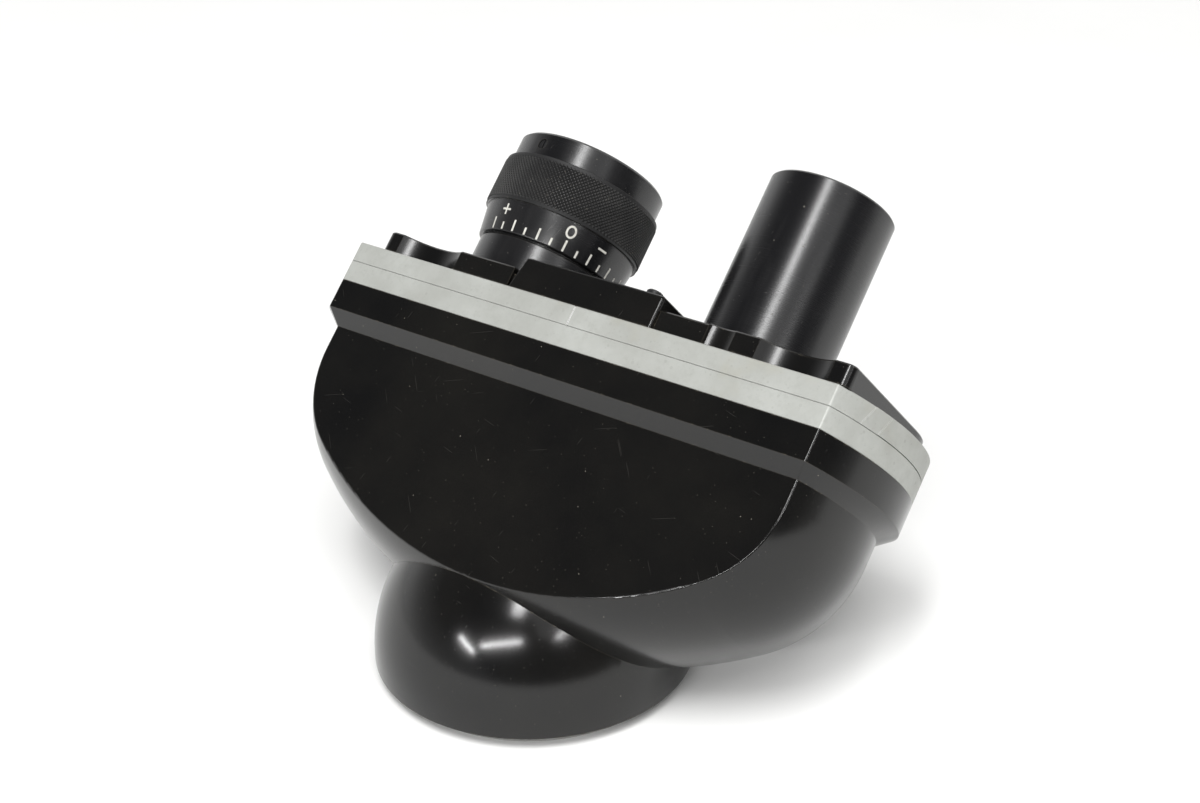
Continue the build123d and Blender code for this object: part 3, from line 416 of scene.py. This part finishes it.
def makeMetal(name):
    colour, dark, roughness, metallic = metalLook[name]
    finish = Finish(name, Metallic=metallic)
    brush = finish.noise(1.0, 3.0, 0.6, finish.stretched((300.0, 300.0, 3000.0)))
    cloud = finish.noise(180.0, 4.0, 0.6)
    edge = finish.edges(0.00025)
    marked = finish.mix(finish.ramp(cloud, (0.4, 0.0), (0.75, 1.0)), colour, dark)
    # edges lightened towards a brighter copy of the colour: a painted edge highlight
    edgeHighlightColour = [min(1.0, part * 1.35 + 0.03) for part in colour]
    finish.feed("Base Color", finish.mix(edge * 0.4, marked, edgeHighlightColour))
    finish.feed("Roughness", (roughness + cloud * 0.12 + brush * 0.12 - edge * 0.06).clamped())
    finish.bump(brush * 0.6 + cloud * 0.3, 0.10, 0.00005)
    return finish.material


def makeGlass(name):
    finish = Finish(name, IOR=1.52, Transmission_Weight=1.0)
    cloud = finish.noise(120.0, 3.0, 0.6)
    dust = finish.specks(900.0, 0.12, 0.12)
    finish.feed("Base Color", finish.mix(cloud, (0.93, 0.97, 0.98), (0.96, 0.97, 0.99)))
    finish.feed("Roughness", (0.01 + cloud * 0.02 + dust * 0.4).clamped())
    return finish.material


paintLook = {
    "ivory": (0.60, 0.59, 0.54),
    "dirty": (0.30, 0.29, 0.26),
    "faded": (0.50, 0.49, 0.45),
}


def makePaint(name):
    look = paintLook
    finish = Finish(name)
    grain = finish.noise(1500.0, 4.0, 0.7)
    cloud = finish.noise(260.0, 3.0, 0.6)
    colour = finish.mix(finish.ramp(grain, (0.45, 0.0), (0.75, 1.0)), look["ivory"], look["dirty"])
    finish.feed("Base Color", finish.mix(cloud * 0.5, colour, look["faded"]))
    finish.feed("Roughness", (0.55 + grain * 0.2).clamped())
    finish.bump(grain, 0.2, 0.00004)
    return finish.material


knurlLook = {
    "black": (0.0125, 0.0125, 0.0128),
    "wearAndSheen": (0.055, 0.054, 0.052),
    "roughness": 0.46,
}


def makeKnurlBlack(name):
    look = knurlLook
    finish = Finish(name, IOR=1.5)
    tip = finish.node("ShaderNodeAttribute", {"attribute_name": "tip"}, output="Fac")
    cloud = finish.noise(110.0, 4.0, 0.6)
    grain = finish.noise(1900.0, 3.0, 0.6)
    dust = finish.specks(1500.0, 0.25, 0.10)
    wearAndSheen = (tip * finish.ramp(cloud, (0.35, 0.15), (0.7, 1.0))).clamped()
    colour = finish.mix(wearAndSheen * 0.8, look["black"], look["wearAndSheen"])
    colour = finish.mix((dust * 0.3).clamped(), colour, enamelLook["dust"])
    finish.feed("Base Color", colour)
    finish.feed("Roughness", (look["roughness"] + cloud * 0.12 - wearAndSheen * 0.12 + dust * 0.2).clamped())
    finish.bump(grain, 0.12, 0.00004)
    return finish.material


finishes = {
    "black_enamel": makeEnamel("housingEnamel"),
    "black_cover": makeEnamel("coverEnamel", dustShare=0.05, scratchShare=0.0016, roughness=0.15),
    "black_tube": makeTubeBlack("tubeLacquer"),
    "satin_strip": makeStrip("satinStrip"),
    "ring_steel": makeMetal("ringSteel"),
    "steel": makeMetal("screwSteel"),
    "black_screw": makeMetal("blackScrew"),
    "brass": makeMetal("brass"),
    "inner_aluminium": makeMetal("innerBlack"),
    "optical_glass": makeGlass("opticalGlass"),
}
scalePaint = makePaint("scalePaint")
knurlBlack = makeKnurlBlack("knurlBlack")
slots = {part["node"]: part["material_slot"] for part in frame["record"]["subparts"]}
for node, slotName in slots.items():
    mesh = frame["nodes"][node].data
    mesh.materials.clear()
    mesh.materials.append(finishes[slotName])
print("finishes on all nodes")


# mesh tools
def meshPiece(name, points, faces, material, sharpAngle=30.0):
    mesh = bpy.data.meshes.new(name)
    mesh.from_pydata([tuple(point) for point in points], [], faces)
    mesh.update()
    mesh.materials.append(material)
    work = bmesh.new()
    work.from_mesh(mesh)
    bmesh.ops.remove_doubles(work, verts=work.verts, dist=1e-7)
    bmesh.ops.recalc_face_normals(work, faces=work.faces)
    for face in work.faces:
        face.smooth = True
    for edge in work.edges:
        turned = edge.calc_face_angle(0.0)
        edge.smooth = turned < math.radians(sharpAngle)
    work.to_mesh(mesh)
    work.free()
    piece = bpy.data.objects.new(name, mesh)
    bpy.context.scene.collection.objects.link(piece)
    return piece


def roundPoint(centreU, radius, angle, w):
    # angle runs from the rear, towards +u
    return headPoint(centreU + radius * math.sin(angle), radius * math.cos(angle), w)


def rounded(corners, steps=4):
    # (radius, w, rounding) corners of a closed section; each rounding becomes a small arc
    section = []
    count = len(corners)
    for index in range(count):
        r, w, size = corners[index]
        here = Vector((r, w))
        if size == 0:
            section.append((r, w))
            continue
        before = (Vector(corners[index - 1][:2]) - here).normalized()
        after = (Vector(corners[(index + 1) % count][:2]) - here).normalized()
        for step in range(steps + 1):
            share = step / steps
            start, end = here + before * size, here + after * size
            point = start * (1 - share) ** 2 + here * 2 * share * (1 - share) + end * share**2
            section.append((point.x, point.y))
    return section


# dioptre ring: scale band below, diamond knurl above
ring = {
    "scaleRadius": 16.7,
    "scaleLowRadius": 15.7,
    "scaleBottom": 12.65,
    "knurlBottom": 19.3,
    "knurlTop": 29.9,
    "tipRadius": 17.4,
    "grooveDepth": 0.28,
    "flat": 0.30,            # part of each diamond that stays flat on top
    "diamonds": 128,         # round the ring
    "bevel": 0.55,
    "bore": 14.65,
    "wideBore": 16.35,
    "shoulder": 20.9,
    "inset": 0.1,            # the plain rims stand this far inside the diamonds' tops
    "lift": 0.02,            # and the body this far outside the grooves
}


def makeDioptreRing():
    around = ring["diamonds"]
    halfTurn = math.pi / around
    rootRadius = ring["tipRadius"] - ring["grooveDepth"]
    low = ring["knurlBottom"] + ring["bevel"]
    high = ring["knurlTop"] - ring["bevel"]
    pitch = 2 * math.pi * ring["tipRadius"] / around
    rows = round((high - low) / pitch) * 2
    rowHeight = (high - low) / rows
    steps = 2 * around
    points, faces = [], []

    def addPoint(radius, angle, w):
        points.append(roundPoint(tubeOffset, radius, angle, w))
        return len(points) - 1

    # groove crossings stand on a lattice whose every other row is shifted by half a pitch
    crossing = {}
    for row in range(rows + 1):
        for column in range(around):
            step = 2 * column + row % 2
            crossing[(row, step)] = addPoint(rootRadius, step * halfTurn, low + row * rowHeight)
    for row in range(1, rows):
        for column in range(around):
            middle = 2 * column + (row + 1) % 2
            corners = [
                crossing[(row - 1, middle)],
                crossing[(row, (middle + 1) % steps)],
                crossing[(row + 1, middle)],
                crossing[(row, (middle - 1) % steps)],
            ]
            angle = middle * halfTurn
            w = low + row * rowHeight
            flat = ring["flat"]
            top = [
                addPoint(ring["tipRadius"], angle, w - rowHeight * flat),
                addPoint(ring["tipRadius"], angle + halfTurn * flat, w),
                addPoint(ring["tipRadius"], angle, w + rowHeight * flat),
                addPoint(ring["tipRadius"], angle - halfTurn * flat, w),
            ]
            faces.append(top)
            for side in range(4):
                faces.append([corners[side], corners[(side + 1) % 4], top[(side + 1) % 4], top[side]])
    # the body under the knurl: each (radius, w) corner becomes a ring of points
    rimRadius = ring["tipRadius"] - ring["inset"]
    bodyRadius = rootRadius + ring["lift"]
    section = rounded([
        (ring["bore"], ring["shoulder"], 0),
        (ring["bore"], ring["scaleBottom"], 0.15),
        (ring["scaleLowRadius"], ring["scaleBottom"], 0.30),
        (ring["scaleRadius"], ring["knurlBottom"], 0.0),
        (rimRadius, ring["knurlBottom"], 0.25),
        (bodyRadius, low, 0.0),
    ])
    upper = rounded([
        (bodyRadius, high, 0.0),
        (rimRadius, ring["knurlTop"], 0.25),
        (ring["wideBore"], ring["knurlTop"], 0.12),
        (ring["wideBore"], ring["shoulder"], 0.0),
    ])

    def addRing(radius, w):
        return [addPoint(radius, step * halfTurn, w) for step in range(steps)]

    lower = [addRing(radius, w) for radius, w in section]
    above = [addRing(radius, w) for radius, w in upper]

    def bridge(first, second):
        for step in range(steps):
            after = (step + 1) % steps
            faces.append([first[step], first[after], second[after], second[step]])

    for first, second in zip(lower, lower[1:]):
        bridge(first, second)
    for first, second in zip(above, above[1:]):
        bridge(first, second)
    bridge(above[-1], lower[0])
    # zigzag between the knurl's first and last rows and the body
    for row, body, up in ((0, lower[-1], 1), (rows, above[0], -1)):
        shift = row % 2
        for column in range(around):
            here = (2 * column + shift) % steps
            after = (here + 1) % steps
            last = (here + 2) % steps
            faces.append([body[here], body[after], crossing[(row + up, after)], crossing[(row, here)]])
            faces.append([body[after], body[last], crossing[(row, last)], crossing[(row + up, after)]])
    piece = meshPiece("dioptreRing", points, faces, finishes["black_tube"], sharpAngle=24.0)
    tipLayer = piece.data.attributes.new("tip", "FLOAT", "POINT")
    tipRadius = ring["tipRadius"] * millimetre
    axisPoint = headPoint(tubeOffset, 0, 0)
    piece.data.materials.append(knurlBlack)
    distances = []
    for index, vertex in enumerate(piece.data.vertices):
        offset = vertex.co - axisPoint
        height = offset.dot(tubeDir)
        distance = (offset - tubeDir * height).length
        distances.append((distance, height / millimetre))
        onTip = distance > tipRadius - 1e-6 and low < height / millimetre < high
        tipLayer.data[index].value = float(onTip)
    for face in piece.data.polygons:
        middle = sum(distances[index][1] for index in face.vertices) / len(face.vertices)
        outer = min(distances[index][0] for index in face.vertices) > (rootRadius - 0.4) * millimetre
        if outer and middle > ring["knurlBottom"] - 0.01:
            face.material_index = 1
    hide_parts("dioptre_ring")
    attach(piece, "dioptre_ring")


# scale: painted graduations and three signs
scale = {
    "proud": 0.012,
    "sunk": 0.03,
    "bottom": 12.98,
    "shortTop": 14.5,
    "longTop": 15.35,
    "width": 0.44,
    "stroke": 0.42,
    "step": 10.5,            # degrees between graduations
    "count": 13,
    "zeroAngle": -42.0,      # degrees from the rear, towards +u
    "signHeight": 17.2,
    "signSize": 2.5,
    "plusAngle": 54.0,       # from the nought
    "minusAngle": -27.0,
    "ovalWidth": 0.36,       # the nought's half width and half height, as parts of signSize
    "ovalHeight": 0.46,
    "signReach": 0.45,
    "ovalSteps": 28,
}


def scaleRadiusAt(w):
    # the band tapers inwards towards its lower end
    share = (w - ring["scaleBottom"]) / (ring["knurlBottom"] - ring["scaleBottom"])
    return ring["scaleLowRadius"] + (ring["scaleRadius"] - ring["scaleLowRadius"]) * share


def strokeFaces(points, faces, path, width, closed=False):
    # a painted stroke laid on the ring: path gives (angle in degrees, w) along its middle
    count = len(path)
    perDegree = math.radians(1) * scaleRadiusAt(scale["signHeight"])
    rails = []
    for index in range(count):
        before = path[index - 1] if closed or index > 0 else path[index]
        after = path[(index + 1) % count] if closed or index < count - 1 else path[index]
        along = Vector(((after[0] - before[0]) * perDegree, after[1] - before[1])).normalized()
        across = Vector((-along.y, along.x)) * width / 2
        row = []
        for sign in (-1, 1):
            for lift in (-scale["sunk"], scale["proud"]):
                angle = path[index][0] + sign * across.x / perDegree
                w = path[index][1] + sign * across.y
                points.append(roundPoint(tubeOffset, scaleRadiusAt(w) + lift, math.radians(angle), w))
                row.append(len(points) - 1)
        rails.append([row[0], row[1], row[3], row[2]])
    pairs = list(zip(rails, rails[1:])) + ([(rails[-1], rails[0])] if closed else [])
    for first, second in pairs:
        for side in range(4):
            faces.append([first[side], first[(side + 1) % 4], second[(side + 1) % 4], second[side]])
    if not closed:
        faces.append(rails[0][::-1])
        faces.append(rails[-1])


def makeScale():
    points, faces = [], []
    half = scale["count"] // 2
    for index in range(-half, half + 1):
        angle = scale["zeroAngle"] + index * scale["step"]
        top = scale["longTop"] if index % 2 == 0 else scale["shortTop"]
        steps = 3
        rise = top - scale["bottom"]
        path = [(angle, scale["bottom"] + rise * step / steps) for step in range(steps + 1)]
        strokeFaces(points, faces, path, scale["width"])
    perDegree = math.radians(1) * scaleRadiusAt(scale["signHeight"])
    size = scale["signSize"]
    middle = scale["signHeight"]
    oval = []
    for step in range(scale["ovalSteps"]):
        turn = 2 * math.pi * step / scale["ovalSteps"]
        angle = scale["zeroAngle"] + math.cos(turn) * size * scale["ovalWidth"] / perDegree
        oval.append((angle, middle + math.sin(turn) * size * scale["ovalHeight"]))
    strokeFaces(points, faces, oval, scale["stroke"], closed=True)
    reach = size * scale["signReach"]
    for signAngle in (scale["plusAngle"], scale["minusAngle"]):
        centre = scale["zeroAngle"] + signAngle
        across = [(centre + reach * step / 2 / perDegree, middle) for step in (-2, -1, 0, 1, 2)]
        strokeFaces(points, faces, across, scale["stroke"])
    # the plus sign's upright, in two halves that meet its bar
    centre = scale["zeroAngle"] + scale["plusAngle"]
    for side in (-1, 1):
        ends = (scale["stroke"] / 2, reach)
        strokeFaces(points, faces, [(centre, middle + side * end) for end in ends], scale["stroke"])
    piece = meshPiece("scaleMarks", points, faces, scalePaint, sharpAngle=40.0)
    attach(piece, "dioptre_ring")


table = {
    "reach": 3.0,
    "rows": 24,
    "pale": (0.84, 0.84, 0.83),
    "paler": (0.88, 0.88, 0.87),
    "speck": (0.5, 0.5, 0.48),
}


def makeTable():
    reach, rows = table["reach"], table["rows"]
    points, faces = [], []
    for i in range(rows + 1):
        for j in range(rows + 1):
            points.append(((i / rows - 0.5) * 2 * reach, (j / rows - 0.5) * 2 * reach, 0.0))
    for i in range(rows):
        for j in range(rows):
            corner = i * (rows + 1) + j
            faces.append([corner, corner + rows + 1, corner + rows + 2, corner + 1])
    finish = Finish("paleTable", Specular_IOR_Level=0.2)
    cloud = finish.noise(14.0, 4.0, 0.6)
    speck = finish.specks(160.0, 0.05, 0.06)
    colour = finish.mix(cloud, table["pale"], table["paler"])
    finish.feed("Base Color", finish.mix(speck * 0.15, colour, table["speck"]))
    finish.feed("Roughness", (0.7 + cloud * 0.2).clamped())
    floor = meshPiece("paleTable", points, faces, finish.material)


room = {
    # brightness from the table's height up to the ceiling
    "stops": ((0.0, 0.95), (0.20, 0.90), (0.44, 0.42), (0.70, 0.10), (1.0, 0.07)),
    "front": 0.45,           # how much darker the room is towards +y than behind the object
    "side": 0.60,            # and towards -x
}


def makeWorld():
    world = bpy.data.worlds.new("softRoom")
    bpy.context.scene.world = world
    world.use_nodes = True
    maker = NodeMaker(world.node_tree)
    place = maker.node("ShaderNodeTexCoord", output="Generated")
    x, y, z = maker.node("ShaderNodeSeparateXYZ", {}, {0: place}, output=("X", "Y", "Z"))
    side = x.maths("MAXIMUM", x * -1, 0.0)
    shade = maker.ramp(z + y * room["front"] + side * room["side"], *room["stops"])
    background = world.node_tree.nodes["Background"]
    world.node_tree.links.new(shade.socket, background.inputs["Color"])


makeCamera()
makeLights()
makeWorld()
makeTable()
bpy.context.scene.view_settings.view_transform = "Standard"
print("camera, light and table placed")
makeDioptreRing()
makeScale()
print("dioptre ring and scale made")
